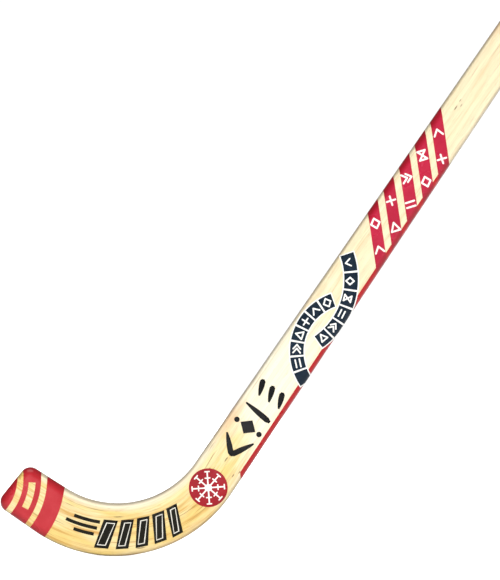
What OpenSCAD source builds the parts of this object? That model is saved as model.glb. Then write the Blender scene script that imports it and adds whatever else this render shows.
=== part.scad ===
// Roller hockey stick in bent laminated wood, with printed transfers on its front face.
// Everything is drawn flat first: x to the right, y up, z through the thickness, front at +z.
// upright() then stands it up: +X right, +Z up, front face towards -Y, sole contact at the origin.

/* [Outline] */
// Radius of the hollow, upper edge of the bend
inner_r = 88.9; // [80:0.1:100]
// Radius of the sole, the lower edge of the bend
sole_r = 131.9; // [120:0.1:145]
// Height of the blade, from the sole's contact point to the hollow above it
blade_h = 49.3; // [45:0.1:50]
// How far the hollow's centre lies towards the shaft from the sole's centre
centre_shift = 2.4; // [0:0.1:6]
// Slope of the shaft's upper edge above the floor
shaft_in_angle = 55.4; // [50:0.1:60]
// Slope of the shaft's lower edge; the difference is the taper
shaft_out_angle = 56.4; // [50:0.1:60]
// Direction of the toe's upper edge
toe_in_angle = 147.4; // [140:0.1:155]
// Direction of the toe's lower edge
toe_out_angle = 145.3; // [140:0.1:155]
// Straight run of the shaft, from the bend to the butt
shaft_run = 855; // [700:5:900]
// Straight run of the toe, from the bend to the end face
toe_run = 44; // [30:1:60]
// Radius of the toe's two corners, seen from the front
toe_corner_r = 10; // [8:0.5:14]
// Slope of the toe's end face away from square
toe_face_tilt = 6; // [0:0.5:12]

/* [Section] */
// Thickness of the stick
thickness = 20; // [16:0.5:25]
// Thickness of one ply
ply_t = 3.8; // [3:0.1:5]
// Rounding of all the long edges and of the toe
edge_r = 7.6; // [4:0.1:8]

/* [Transfers] */
// Thickness of one printed layer
film_t = 0.15; // [0.1:0.05:0.3]
// Distance from the bend to the lowest diagonal stripe, on the hollow edge
diagonal_start = 284.8; // [250:0.1:300]
// Pitch of the diagonal stripes along the shaft
diagonal_pitch = 25.8; // [20:0.1:32]
// Run back along the shaft for each millimetre across it
diagonal_lean = 1.07; // [0.5:0.01:1.5]
// Width of the painted stripe on the lower edge, seen from the front
edge_stripe_w = 4.6; // [3:0.1:7]
// Radius of the roundel
roundel_r = 18.2; // [14:0.1:20]

/* [Hidden] */
$fn = 240;
half_t = thickness / 2;
reach = 60;                              // past any width, for cutting
tall = thickness + 8;                    // past the thickness, for cutting
far_above = 1500;                        // past the butt, to close a region over the bend's centre
in_c = [centre_shift, blade_h + inner_r];
out_c = [0, sole_r];
in_a0 = toe_in_angle - 270;              // the bend's start and end on the hollow edge
in_a1 = shaft_in_angle - 90;
out_a0 = toe_out_angle - 270;            // and on the sole
out_a1 = shaft_out_angle - 90;
ply_count = 13;

function polar(r, a) = r * [cos(a), sin(a)];

// toe corners: the first lies against the hollow edge, the second against the sole
face_a = in_a0 - toe_face_tilt;
sole_n = polar(1, out_a0);
corner_1 = in_c + polar(inner_r + toe_corner_r, in_a0) + polar(toe_run - toe_corner_r, toe_in_angle);
corner_gap = (sole_r - toe_corner_r - (corner_1 - out_c) * sole_n) / (polar(1, face_a) * sole_n);
corner_2 = corner_1 + polar(corner_gap, face_a);

// ---- Places on the stick -------------------------------------------------------------

module upright() { rotate([90, 0, 0]) children(); }

// x runs up the shaft from the bend, y from the outer side towards the hollow edge
module on_shaft(along, depth, turn = 0) {
  translate(in_c) rotate(shaft_in_angle) translate([along, -inner_r - depth]) rotate(turn) children();
}

// the same axes at an angle round the bend
module on_bend(a, depth, turn = 0) {
  translate(in_c) rotate(a) translate([inner_r + depth, 0]) rotate(90 + turn) children();
}

// ---- Regions, each a tall block seen from the front --------------------------------------

// all that lies on the centre's side of a path: straight toe, bend, straight shaft
module inside_path(centre, r, a0, a1, h) {
  translate(centre) {
    cylinder(h, r = r, center = true);
    linear_extrude(h, center = true)
      polygon([[0, 0], polar(r, a0), polar(r, a0) + polar(toe_run + reach, a0 - 90), [0, far_above],
               polar(r, a1) + polar(shaft_run + reach, a1 + 90), polar(r, a1)]);
  }
}

// all that lies above the hollow edge, or less than a depth below it
module above_hollow(depth) { inside_path(in_c, inner_r + depth, in_a0, in_a1, 2 * tall); }

// all that lies further than an inset above the sole
module above_sole(inset) { inside_path(out_c, sole_r - inset, out_a0, out_a1, tall); }

// the toe's end of the stick, further than an inset inside its rounded end
module inside_toe(inset) {
  r = toe_corner_r - inset;
  out = polar(r, face_a - 90);
  high = corner_1 - polar(reach, in_a0);
  low = corner_2 + polar(reach, out_a0);
  for (c = [corner_1, corner_2]) translate(c) cylinder(tall, r = r, center = true);
  linear_extrude(tall, center = true)
    polygon([high, corner_1, corner_1 + out, corner_2 + out, corner_2, low,
             low - polar(2 * reach, toe_out_angle), high - polar(2 * reach, toe_in_angle)]);
}

// ---- Sweeps along the edges --------------------------------------------------------------

// The section's x goes from the edge into the wood. Neighbouring panels of a print stay a hair
// apart, so that each is a clean solid of its own.
hollow_bend = 0; hollow_shaft = 1; hollow_toe = 2;
sole_bend = 3; sole_shaft = 4; sole_toe = 5;
first_corner = 6; second_corner = 7; toe_face = 8;
seam = 0.02;
sole_toe_run = (corner_2 - out_c) * polar(1, toe_out_angle);

module straight(centre, r, a, from, length) {
  translate(centre) rotate(a) translate([r, from, 0]) rotate([90, 0, 0]) linear_extrude(length) children();
}

module turned(centre, r, a, sweep) {
  translate(centre) rotate(a) rotate_extrude(angle = sweep) translate([r, 0]) children();
}

module along(stretch) {
  if (stretch == hollow_bend) turned(in_c, inner_r, in_a0, in_a1 - in_a0) children();
  if (stretch == hollow_shaft)
    straight(in_c, inner_r, in_a1, shaft_run, shaft_run - seam) children();
  if (stretch == hollow_toe)
    straight(in_c, inner_r, in_a0, -seam, toe_run - toe_corner_r - 2 * seam) children();
  if (stretch == sole_bend) turned(out_c, sole_r, out_a0, out_a1 - out_a0) mirror([1, 0]) children();
  if (stretch == sole_shaft)
    straight(out_c, sole_r, out_a1, shaft_run, shaft_run - seam) mirror([1, 0]) children();
  if (stretch == sole_toe)
    straight(out_c, sole_r, out_a0, -seam, sole_toe_run - 2 * seam) mirror([1, 0]) children();
  if (stretch == first_corner)
    turned(corner_1, toe_corner_r, face_a - 90, toe_face_tilt - 90) mirror([1, 0]) children();
  if (stretch == second_corner)
    turned(corner_2, toe_corner_r, out_a0, face_a - 90 - out_a0) mirror([1, 0]) children();
  if (stretch == toe_face)
    straight(corner_1, toe_corner_r, face_a - 90, corner_gap - seam, corner_gap - 2 * seam)
      mirror([1, 0]) children();
}

// section of a printed layer where it turns over the rounding, as far as the middle of the edge
module skin_section(low) {
  high = low + film_t;
  intersection() {
    translate([edge_r, half_t - edge_r]) difference() {
      circle(edge_r + high);
      circle(edge_r + low);
    }
    translate([-high, half_t - edge_r]) square(edge_r + high);
  }
  translate([-high, 0]) square([film_t, half_t - edge_r]);
}

// ---- Plies ------------------------------------------------------------------------------

// Each ply is lofted through stations from the toe to the butt. A station is a line square to
// the hollow edge; the ply's depths on it become a closed ring, front side then back side.

// distance from a point inside the sole path to that path
function sole_distance(p) =
  let (q = p - out_c, a = atan2(q.y, q.x))
  a > out_a0 && a < out_a1 ? sole_r - norm(q)
                           : sole_r - max(q * polar(1, out_a0), q * polar(1, out_a1));

// width of the stick from a point on the hollow edge, looking in direction a
function width_from(p, a) =
  let (u = polar(1, a), q = p - out_c, b = q * u, t = sqrt(b * b - q * q + sole_r * sole_r) - b,
       hit = q + t * u, at = atan2(hit.y, hit.x))
  at > out_a0 && at < out_a1 ? t
    : min([for (n = [out_a0, out_a1]) if (u * polar(1, n) > 0.1)
             (sole_r - q * polar(1, n)) / (u * polar(1, n))]);

function bend_width(a) = width_from(in_c + polar(inner_r, a), a);
function shaft_width(along) = bend_width(in_a1) - along * tan(shaft_out_angle - shaft_in_angle);

// girth is the distance over the rounded surface from the edge to a depth, and back again
quarter_girth = edge_r * PI / 2;
function girth(m) = m < edge_r ? edge_r * acos(1 - m / edge_r) * PI / 180 : quarter_girth + m - edge_r;
function from_girth(g) = g < quarter_girth ? edge_r * (1 - cos(g / edge_r * 180 / PI))
                                           : g - quarter_girth + edge_r;

// half thickness at a distance inside the outline
function rise(m) = half_t - edge_r
                   + (m >= edge_r ? edge_r : sqrt(max(0, m * (2 * edge_r - m))));

// depths of ply k on a station of width w, evenly spaced over the surface
function depths(k, w) =
  let (near = (k - 1) * ply_t, far = min(k * ply_t, w), n = k < 3 || k > 5 ? 6 : 2,
       top = k == ply_count ? w : far)
  [for (j = [0:n]) let (f = j / n)
    k > 5 ? w - from_girth(girth(w - near) * (1 - f) + girth(w - top) * f)
          : from_girth(girth(near) * (1 - f) + girth(top) * f)];

// how far the toe reaches at a depth, and a point's distance from the toe's end
face_x = cos(toe_face_tilt) * toe_corner_r;
x_1 = toe_run - toe_corner_r;
x_2 = x_1 + corner_gap * sin(toe_face_tilt);
depth_2 = toe_corner_r + corner_gap * cos(toe_face_tilt);
function round_end(x, r_depth) = x + sqrt(max(0, toe_corner_r * toe_corner_r - r_depth * r_depth));
function toe_reach(d) =
  let (d_1 = toe_corner_r - toe_corner_r * sin(toe_face_tilt),
       d_2 = depth_2 - toe_corner_r * sin(toe_face_tilt))
  d < d_1 ? round_end(x_1, d - toe_corner_r)
          : d > d_2 ? round_end(x_2, d - depth_2) : x_1 + face_x + (d - d_1) * tan(toe_face_tilt);
function end_distance(p) =
  let (n = polar(1, face_a - 90), q_1 = p - corner_1, q_2 = p - corner_2, f = q_1 * n)
  f > 0 && q_1 * polar(1, in_a0) < 0 ? toe_corner_r - norm(q_1)
    : f > 0 && q_2 * sole_n > 0 ? toe_corner_r - norm(q_2) : toe_corner_r - f;

function ring(flat, depth) =
  [for (j = [0:len(flat) - 1])
     [flat[j].x, flat[j].y, rise(min(depth[j], sole_distance(flat[j]), end_distance(flat[j])))]];
function closed(front) =
  concat(front, [for (j = [len(front) - 1:-1:0]) [front[j].x, front[j].y, -front[j].z]]);

function toe_ring(k, f, nose) =
  let (depth = depths(k, width_from(in_c + polar(inner_r, in_a0) + polar(x_2 * f, toe_in_angle), in_a0)))
  ring([for (d = depth) in_c + polar(inner_r + d, in_a0)
          + polar((toe_reach(d) - edge_r) * f + edge_r * sin(nose), toe_in_angle)], depth);
function bend_ring(k, a) =
  let (depth = depths(k, bend_width(a))) ring([for (d = depth) in_c + polar(inner_r + d, a)], depth);
function shaft_ring(k, along) =
  let (depth = depths(k, shaft_width(along)))
  ring([for (d = depth) in_c + polar(inner_r + d, in_a1) + polar(along, shaft_in_angle)], depth);

// the last place where the stick is still a little wider than a depth
tip = 0.3;
function bend_end(d, lo = out_a0 + 60, hi = in_a1, tries = 16) =
  bend_width(hi) > d + tip ? hi : tries == 0 ? lo
    : let (mid = (lo + hi) / 2)
      bend_width(mid) > d + tip ? bend_end(d, mid, hi, tries - 1) : bend_end(d, lo, mid, tries - 1);
function shaft_end(d) =
  min(shaft_run, (shaft_width(0) - d - tip) / tan(shaft_out_angle - shaft_in_angle));

module ply(k) {
  near = (k - 1) * ply_t;
  last = bend_end(near);
  run = shaft_end(near);
  steps = k > 5 ? 10 : 1;
  rings = [for (nose = [90:-18:18]) toe_ring(k, 1, nose), toe_ring(k, 1, 0), toe_ring(k, 0.5, 0),
           for (i = [0:24]) bend_ring(k, in_a0 + (last - in_a0) * i / 24),
           if (last == in_a1) for (i = [1:steps]) shaft_ring(k, run * i / steps)];
  loft([for (r = rings) closed(r)]);
}

// skin through closed rings, with a ladder of flat steps over each end
module loft(rings) {
  n = len(rings[0]);
  last = len(rings) - 1;
  half = n / 2;
  polyhedron([for (r = rings) each r], concat(
    [for (i = [0:last - 1], j = [0:n - 1]) [i * n + j, i * n + (j + 1) % n, (i + 1) * n + (j + 1) % n]],
    [for (i = [0:last - 1], j = [0:n - 1]) [i * n + j, (i + 1) * n + (j + 1) % n, (i + 1) * n + j]],
    [for (j = [0:half - 2]) [j, n - 1 - j, n - 2 - j]],
    [for (j = [0:half - 2]) [j, n - 2 - j, j + 1]],
    [for (j = [0:half - 2]) [last * n + j, last * n + n - 2 - j, last * n + n - 1 - j]],
    [for (j = [0:half - 2]) [last * n + j, last * n + j + 1, last * n + n - 2 - j]]));
}

// ---- Printed layers ---------------------------------------------------------------------

// A flat shape laid on the front: layer 1 on the wood, 2 and 3 on the layers below. Shapes that
// run over an edge name the stretches they turn over; their flat part stops at the rounding.
module film(layer, over = [], at_toe = false) {
  low = (layer - 1) * film_t;
  difference() {
    intersection() {
      translate([0, 0, half_t + low]) linear_extrude(film_t) children();
      if (len(over) > 0) above_sole(edge_r + seam);
      if (at_toe) inside_toe(edge_r + seam);
    }
    if (len(over) > 0) above_hollow(edge_r + seam);
  }
  for (stretch = over) intersection() {
    along(stretch) skin_section(low);
    linear_extrude(thickness) children();
  }
}

module stroke(from, to, w) {
  translate(from) circle(w / 2);
  translate(to) circle(w / 2);
  translate(from) rotate(atan2(to.y - from.y, to.x - from.x))
    translate([0, -w / 2]) square([norm(to - from), w]);
}

module path_stroke(points, w) { for (i = [1:len(points) - 1]) stroke(points[i - 1], points[i], w); }

module sector(centre_r, w, mid, sweep) {
  r = centre_r + w;
  intersection() {
    difference() {
      circle(centre_r + w / 2);
      circle(centre_r - w / 2);
    }
    polygon([[0, 0], polar(2 * r, mid - sweep / 2), polar(2 * r, mid + sweep / 2)]);
  }
}

// abstract tile marks in a square of half-width 1: diamond, chevron, cross, triangle,
// double chevron, two bars and hourglass
marks = [
  [[[0, -0.9], [0.8, 0], [0, 0.9], [-0.8, 0], [0, -0.9]]],
  [[[-0.8, -0.5], [0, 0.6], [0.8, -0.5]]],
  [[[-0.8, 0], [0.8, 0]], [[0, -0.8], [0, 0.8]]],
  [[[-0.8, -0.7], [0, 0.8], [0.8, -0.7], [-0.8, -0.7]]],
  [[[-0.8, -0.75], [0.1, 0], [-0.8, 0.75]], [[0, -0.75], [0.9, 0], [0, 0.75]]],
  [[[-0.8, 0.45], [0.8, 0.45]], [[-0.8, -0.45], [0.8, -0.45]]],
  [[[-0.7, 0.8], [0.7, 0.8], [-0.7, -0.8], [0.7, -0.8], [-0.7, 0.8]]]
];
module mark(i, size, w) {
  for (line = marks[i % len(marks)]) path_stroke([for (p = line) p * size / 2], w);
}

// three swept arcs that wrap the toe, with a window in the middle one
module toe_arcs() {
  on_bend(in_a0, 40) translate([-80, 0]) {
    sector(79.7, 16.5, -10, 100);
    difference() {
      sector(57.6, 16.6, -10, 120);
      sector(57.6, 6.4, 17, 25);
    }
    circle(43.5);
  }
}

module toe_print() {
  film(1, [hollow_bend, hollow_toe, sole_bend, sole_toe, first_corner, second_corner, toe_face], true)
    toe_arcs();
}

// leaning bars with trailing lines, set along the blade
bar_angles = [-95, -86.4, -78.2, -70.2, -62.6];
bar_widths = [13.5, 12, 12, 12, 11];
bar_half_h = 13.5;
bar_lean = 3.5;
bar_depth = 28.5;
trails = [[18, -112, -98.5], [24, -115, -99.5], [30, -110, -100.5]];   // depth, from angle, to angle
trail_w = 3.2;
module leaning_bar(i, margin) {
  w = bar_widths[i] / 2 - margin;
  h = bar_half_h - margin;
  on_bend(bar_angles[i], bar_depth)
    polygon([[-w - bar_lean, -h], [w - bar_lean, -h], [w + bar_lean, h], [-w + bar_lean, h]]);
}
module blade_emblem() {
  film(1) {
    for (i = [0:4]) leaning_bar(i, 0);
    for (t = trails) translate(in_c) sector(inner_r + t[0], trail_w, (t[1] + t[2]) / 2, t[2] - t[1]);
  }
}

module emblem_inlines() {
  film(2) for (i = [0:4]) difference() {
    leaning_bar(i, 2.6);
    leaning_bar(i, 3.4);
  }
}

roundel_a = -40.7;
roundel_depth = 23.9;
module roundel_disc() {
  film(1, [hollow_bend, sole_bend]) on_bend(roundel_a, roundel_depth) circle(roundel_r);
}

module roundel_star() {
  film(2) on_bend(roundel_a, roundel_depth) {
    circle(roundel_r * 0.19);
    for (a = [0:45:315]) rotate(a) {
      stroke([0, 0], [roundel_r * 0.83, 0], 1.3);
      stroke([roundel_r * 0.5, -2.2], [roundel_r * 0.5, 2.2], 1.2);
      stroke([roundel_r * 0.83, -2], [roundel_r * 0.83, 2], 1.2);
    }
  }
}

// brushed marks across the lower shaft: chevron, diamond between dots, bar and three dashes
brush_w = 4.2;
dot_r = 2.6;
module shaft_marks() {
  film(1) on_shaft(0, 0) {
    path_stroke([[39, -9], [27, -24], [44, -34]], brush_w);
    translate([56, -21.5]) polygon([[-7.5, 0], [0, -8.5], [7.5, 0], [0, 8.5]]);
    for (y = [-9, -34]) translate([56, y]) circle(dot_r);
    path_stroke([[74, -9], [71, -34]], brush_w);
    for (y = [-9, -20, -31]) path_stroke([[99, y], [88, y - 4]], 4);
  }
}

// tiles in two arcs across the shaft, each on a white backing; the backing's panels overlap a hair
border_w = 15;
tile_w = 12.8;
overlap = -0.2;
tile_mark_w = 1.4;
lower_c = [169, 61];
lower_r = 51;
lower_pitch = 15.25;
lower_angles = [for (i = [0:6]) 60.8 + lower_pitch * i];
upper_c = [184, -36.4];
upper_r = 71.6;
upper_angles = [for (i = [0:5]) -105.7 + 10.8 * i + 0.36 * i * i];
module lower_tile(i, w, gap) {
  on_shaft(lower_c.x, lower_c.y) sector(lower_r, w, lower_angles[i], lower_pitch - gap);
}
module upper_tile(i, w, gap) {
  on_shaft(upper_c.x, upper_c.y) sector(upper_r, w, upper_angles[i], 10.9 + 0.7 * i - gap);
}

module lower_band_border() {
  film(1, [hollow_shaft, sole_shaft]) for (i = [0:6]) lower_tile(i, border_w, overlap);
}
module lower_band_tiles() {
  film(2, [hollow_shaft, sole_shaft]) for (i = [0:6]) lower_tile(i, tile_w, 1.9);
}
module lower_band_glyphs() {
  film(3) for (i = [0:5]) on_shaft(lower_c.x, lower_c.y)
    rotate(lower_angles[i]) translate([lower_r, 0]) rotate(-90) mark(i, 9, tile_mark_w);
}
module upper_band_border() {
  film(1, [hollow_shaft, sole_shaft]) for (i = [0:5]) upper_tile(i, border_w, overlap);
}
module upper_band_tiles() {
  film(2, [hollow_shaft, sole_shaft]) for (i = [0:5]) upper_tile(i, tile_w, 1.4);
}
module upper_band_glyphs() {
  film(3) for (i = [0:5]) on_shaft(upper_c.x, upper_c.y)
    rotate(upper_angles[i]) translate([upper_r - 1, 0]) rotate(90) mark(i + 3, 8.4, tile_mark_w);
}

// leaning stripes right across the shaft, a little wider towards the butt
past = 5;                                // how far a stripe's shape reaches over the hollow edge
module diagonal(i) {
  w = 16.2 + 0.3 * i;
  on_shaft(diagonal_start + diagonal_pitch * i, 0)
    polygon([[past * diagonal_lean, past], [w + past * diagonal_lean, past],
             [w - reach * diagonal_lean, -reach], [-reach * diagonal_lean, -reach]]);
}
module diagonal_stripes() {
  film(1, [hollow_shaft, sole_shaft]) for (i = [0:4]) diagonal(i);
}

// two marks on each stripe, on its middle line
glyph_depths = [11.5, 28.5];
module stripe_glyphs() {
  film(2) for (i = [0:4], row = [0, 1]) {
    middle = diagonal_start + diagonal_pitch * i + 8.1;
    on_shaft(middle - diagonal_lean * glyph_depths[row], glyph_depths[row], -38)
      mark(2 * i + row, 10.5, 1.7);
  }
}

// painted stripe over the shaft's lower edge, where no other print covers it
module edge_stripe() {
  film(1, [sole_shaft]) difference() {
    translate(out_c) rotate(out_a1) translate([sole_r - edge_stripe_w, 0])
      polygon([[0, 21], [edge_stripe_w, 15.5], [20, 15.5], [20, 366], [0, 366]]);
    for (i = [0:4]) diagonal(i);
    for (i = [0:6]) lower_tile(i, border_w, overlap);
    for (i = [0:5]) upper_tile(i, border_w, overlap);
  }
}

upright() color("#E7C88C") ply(1);  // ply_01
upright() color("#DDBB7C") ply(2);  // ply_02
upright() color("#E7C88C") ply(3);  // ply_03
upright() color("#DDBB7C") ply(4);  // ply_04
upright() color("#E7C88C") ply(5);  // ply_05
upright() color("#DDBB7C") ply(6);  // ply_06
upright() color("#E7C88C") ply(7);  // ply_07
upright() color("#DDBB7C") ply(8);  // ply_08
upright() color("#E7C88C") ply(9);  // ply_09
upright() color("#DDBB7C") ply(10);  // ply_10
upright() color("#E7C88C") ply(11);  // ply_11
upright() color("#DDBB7C") ply(12);  // ply_12
upright() color("#E7C88C") ply(13);  // ply_13
upright() color("#BE3038") toe_print();
upright() color("#22221C") blade_emblem();
upright() color("#E6E4DA") emblem_inlines();
upright() color("#B01C2E") roundel_disc();
upright() color("#F4F4F0") roundel_star();
upright() color("#1C1C1E") shaft_marks();
upright() color("#C42028") edge_stripe();
upright() color("#C8304C") diagonal_stripes();
upright() color("#F6F4F0") stripe_glyphs();
upright() color("#F4F4F0") lower_band_border();
upright() color("#1E2C38") lower_band_tiles();
upright() color("#F4F4F0") lower_band_glyphs();
upright() color("#F4F4F0") upper_band_border();
upright() color("#1E2C38") upper_band_tiles();
upright() color("#F4F4F0") upper_band_glyphs();
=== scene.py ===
"""Looks of a laminated wooden roller hockey stick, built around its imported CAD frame.

The stick is described flat, in millimetres: x right, y up, z towards the front. The function
to_frame() stands it up in the frame's axes: +X right, +Z up, printed face towards -Y.
"""

import math

import bpy
import numpy as np
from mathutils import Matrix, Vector
from mathutils.geometry import delaunay_2d_cdt


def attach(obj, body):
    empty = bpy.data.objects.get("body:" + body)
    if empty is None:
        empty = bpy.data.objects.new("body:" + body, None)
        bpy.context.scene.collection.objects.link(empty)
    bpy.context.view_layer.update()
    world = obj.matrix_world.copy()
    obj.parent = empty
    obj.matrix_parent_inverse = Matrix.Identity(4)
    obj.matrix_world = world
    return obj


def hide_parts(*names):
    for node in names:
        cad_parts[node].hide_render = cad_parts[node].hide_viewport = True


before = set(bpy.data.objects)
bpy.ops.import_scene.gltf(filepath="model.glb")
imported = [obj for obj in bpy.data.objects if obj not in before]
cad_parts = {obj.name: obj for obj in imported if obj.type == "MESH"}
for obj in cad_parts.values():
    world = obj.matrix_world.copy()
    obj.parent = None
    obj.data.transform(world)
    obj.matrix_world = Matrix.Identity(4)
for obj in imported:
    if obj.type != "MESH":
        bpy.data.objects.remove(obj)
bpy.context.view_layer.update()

MM = 0.001

# ---- Outline and section, the same values as the CAD model's -------------------------------

INNER_R = 88.9            # hollow, upper edge of the bend
SOLE_R = 131.9            # sole, lower edge of the bend
BLADE_H = 49.3
CENTRE_SHIFT = 2.4
SHAFT_IN, SHAFT_OUT = 55.4, 56.4      # slopes of the shaft's two edges
TOE_IN, TOE_OUT = 147.4, 145.3        # directions of the toe's two edges
SHAFT_RUN = 855.0
TOE_RUN = 44.0
TOE_CORNER_R = 10.0
TOE_FACE_TILT = 6.0
HALF_T = 10.0
PLY_T = 3.8
PLY_COUNT = 13
EDGE_R = 7.6

IN_A0, IN_A1 = TOE_IN - 270, SHAFT_IN - 90
OUT_A0, OUT_A1 = TOE_OUT - 270, SHAFT_OUT - 90
IN_C = np.array([CENTRE_SHIFT, BLADE_H + INNER_R])
OUT_C = np.array([0.0, SOLE_R])
BEND_RUN = math.radians(IN_A1 - IN_A0) * INNER_R     # length of the hollow edge round the bend
TAPER = math.tan(math.radians(SHAFT_OUT - SHAFT_IN))

TINY = 1e-9               # keeps a division by a length away from zero
MIN_FACING = 0.1          # a line across the stick meets an edge that faces it at least this much


def unit(degrees):
    """Direction or directions at an angle, as an array whose last axis is x, y."""
    a = np.radians(degrees)
    return np.stack([np.cos(a), np.sin(a)], -1)


FACE_A = IN_A0 - TOE_FACE_TILT
FACE_N = unit(FACE_A - 90)
CORNER_1 = IN_C + (INNER_R + TOE_CORNER_R) * unit(IN_A0) + (TOE_RUN - TOE_CORNER_R) * unit(TOE_IN)
CORNER_GAP = ((SOLE_R - TOE_CORNER_R - (CORNER_1 - OUT_C) @ unit(OUT_A0))
              / (unit(FACE_A) @ unit(OUT_A0)))
CORNER_2 = CORNER_1 + CORNER_GAP * unit(FACE_A)


def place(run, depth):
    """Flat points at a run along the hollow edge and a depth below it. The toe has negative runs."""
    run, depth = np.broadcast_arrays(np.asarray(run, float), np.asarray(depth, float))
    bend = np.clip(run, 0, BEND_RUN)
    a = IN_A0 + np.degrees(bend / INNER_R)
    return IN_C + (INNER_R + depth)[..., None] * unit(a) + (run - bend)[..., None] * unit(a + 90)


def station_axis(run):
    """Direction across the stick, from the hollow edge to the sole, at a run."""
    return unit(IN_A0 + np.degrees(np.clip(run, 0, BEND_RUN) / INNER_R))


def width(run):
    """Width of the stick across a station, from the hollow edge to the sole."""
    run = np.asarray(run, float)
    q, u = place(run, 0) - OUT_C, station_axis(run)
    b = (q * u).sum(-1)
    on_arc = np.sqrt(np.maximum(b * b - (q * q).sum(-1) + SOLE_R ** 2, 0)) - b
    hit = q + on_arc[..., None] * u
    at = np.degrees(np.arctan2(hit[..., 1], hit[..., 0]))
    best = np.full(run.shape, np.inf)
    for n in (unit(OUT_A0), unit(OUT_A1)):
        facing = u @ n
        far = (SOLE_R - q @ n) / np.maximum(facing, MIN_FACING)
        best = np.where(facing > MIN_FACING, np.minimum(best, far), best)
    return np.where((at > OUT_A0) & (at < OUT_A1), on_arc, best)


def pick(conditions, choices):
    """np.select for arrays of points."""
    return np.select([c[..., None] for c in conditions], choices[:-1], choices[-1])


def inside(p):
    """Distance of flat points inside the outline, and the direction to the nearest edge."""
    q = p - IN_C
    far = np.linalg.norm(q, axis=-1)
    on_toe, on_shaft = q @ unit(IN_A0 + 90) < 0, q @ unit(IN_A1 + 90) > 0
    axis = pick([on_toe, on_shaft], [unit(IN_A0) + 0 * q, unit(IN_A1) + 0 * q, q / far[..., None]])
    hollow = (q * axis).sum(-1) - INNER_R

    w = p - OUT_C
    reach = np.linalg.norm(w, axis=-1)
    at = np.degrees(np.arctan2(w[..., 1], w[..., 0]))
    low, high = w @ unit(OUT_A0), w @ unit(OUT_A1)
    arc = (at > OUT_A0) & (at < OUT_A1)
    to_sole = pick([arc, low > high],
                   [w / np.maximum(reach, TINY)[..., None], unit(OUT_A0) + 0 * w, unit(OUT_A1) + 0 * w])
    sole = SOLE_R - (w * to_sole).sum(-1)

    q1, q2 = p - CORNER_1, p - CORNER_2
    ahead = q1 @ FACE_N
    first = (ahead > 0) & (q1 @ unit(IN_A0) < 0)
    second = (ahead > 0) & (q2 @ unit(OUT_A0) > 0)
    to_end = pick([first, second],
                  [q1 / np.maximum(np.linalg.norm(q1, axis=-1), TINY)[..., None],
                   q2 / np.maximum(np.linalg.norm(q2, axis=-1), TINY)[..., None], FACE_N + 0 * q1])
    end = TOE_CORNER_R - np.where(second & ~first, (q2 * to_end).sum(-1), (q1 * to_end).sum(-1))

    nearest = np.minimum(np.minimum(hollow, sole), end)
    return nearest, pick([nearest == hollow, nearest == sole], [-axis, to_sole, to_end])


SNAP = 0.012              # points this close to the outline count as on it


def skin(p):
    """Points of the front surface over flat points, their normals and their distance inside."""
    m, out = inside(p)
    m = np.where(m < SNAP, 0, m)
    turn = np.clip(1 - m / EDGE_R, 0, 1)
    lift = np.sqrt(1 - turn ** 2)
    points = np.concatenate([p, (HALF_T - EDGE_R + EDGE_R * lift)[..., None]], -1)
    return points, np.concatenate([out * turn[..., None], lift[..., None]], -1), m


# ---- Meshes ---------------------------------------------------------------------------------


def to_frame(v):
    """Stands flat points or directions up: x right, y up and z front become +X, +Z and -Y."""
    v = np.asarray(v, float)
    return np.stack([v[..., 0], -v[..., 2], v[..., 1]], -1)


def new_piece(name, points, faces, loop_normals, material, attributes=()):
    """A mesh piece with its own shading normals, riding on the stick in place of a CAD node."""
    mesh = bpy.data.meshes.new(name)
    mesh.from_pydata((to_frame(points) * MM).tolist(), [], faces)
    mesh.polygons.foreach_set("use_smooth", [True] * len(mesh.polygons))
    for key, kind, values in attributes:
        layer = mesh.attributes.new(key, kind, "POINT")
        layer.data.foreach_set("vector" if kind == "FLOAT_VECTOR" else "value",
                               np.asarray(values, np.float32).ravel())
    mesh.materials.append(material)
    mesh.normals_split_custom_set(to_frame(loop_normals).tolist())
    mesh.update()
    piece = bpy.data.objects.new(name, mesh)
    bpy.context.scene.collection.objects.link(piece)
    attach(piece, "root")
    return piece


def flat_normals(points, faces):
    """One normal per face, by Newell's rule."""
    result = []
    for face in faces:
        p = points[list(face)]
        n = np.cross(p, np.roll(p, -1, axis=0)).sum(0)
        result.append(n / max(np.linalg.norm(n), 1e-12))
    return np.array(result)


# ---- Plies ------------------------------------------------------------------------------------

QUARTER_GIRTH = EDGE_R * math.pi / 2
NOSE_STEPS, TOE_STEPS, BEND_STEPS, SHAFT_STEPS, BUTT_STEPS = 14, 8, 96, 24, 4
FLAT_PLIES = (3, 4, 5)    # between the rounding along the hollow and the one along the sole
FLAT_POINTS, ROUND_POINTS = 5, 15       # points across a ply's front face
BUTT_R = 1.2              # softened corner round the butt
TIP = 0.02                # a ply that runs out ends at this width
SEARCH_FROM = 0.6         # share of the bend past which the search for a ply's end starts
HALVINGS = 40             # steps of that search
PLY_TONES = [0.42, 0.60, 0.38, 0.66, 0.47, 0.55, 0.35, 0.62, 0.44, 0.70, 0.50, 0.58, 0.46]
FACE_X = math.cos(math.radians(TOE_FACE_TILT)) * TOE_CORNER_R
X_1 = TOE_RUN - TOE_CORNER_R
X_2 = X_1 + CORNER_GAP * math.sin(math.radians(TOE_FACE_TILT))
DEPTH_2 = TOE_CORNER_R + CORNER_GAP * math.cos(math.radians(TOE_FACE_TILT))


def girth(m):
    """Distance over the rounded surface from the edge to a depth."""
    m = np.maximum(m, 0)
    return np.where(m < EDGE_R, EDGE_R * np.arccos(np.clip(1 - m / EDGE_R, -1, 1)),
                    QUARTER_GIRTH + m - EDGE_R)


def from_girth(g):
    """Depth at a distance over the rounded surface from the edge."""
    return np.where(g < QUARTER_GIRTH, EDGE_R * (1 - np.cos(g / EDGE_R)), g - QUARTER_GIRTH + EDGE_R)


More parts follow.
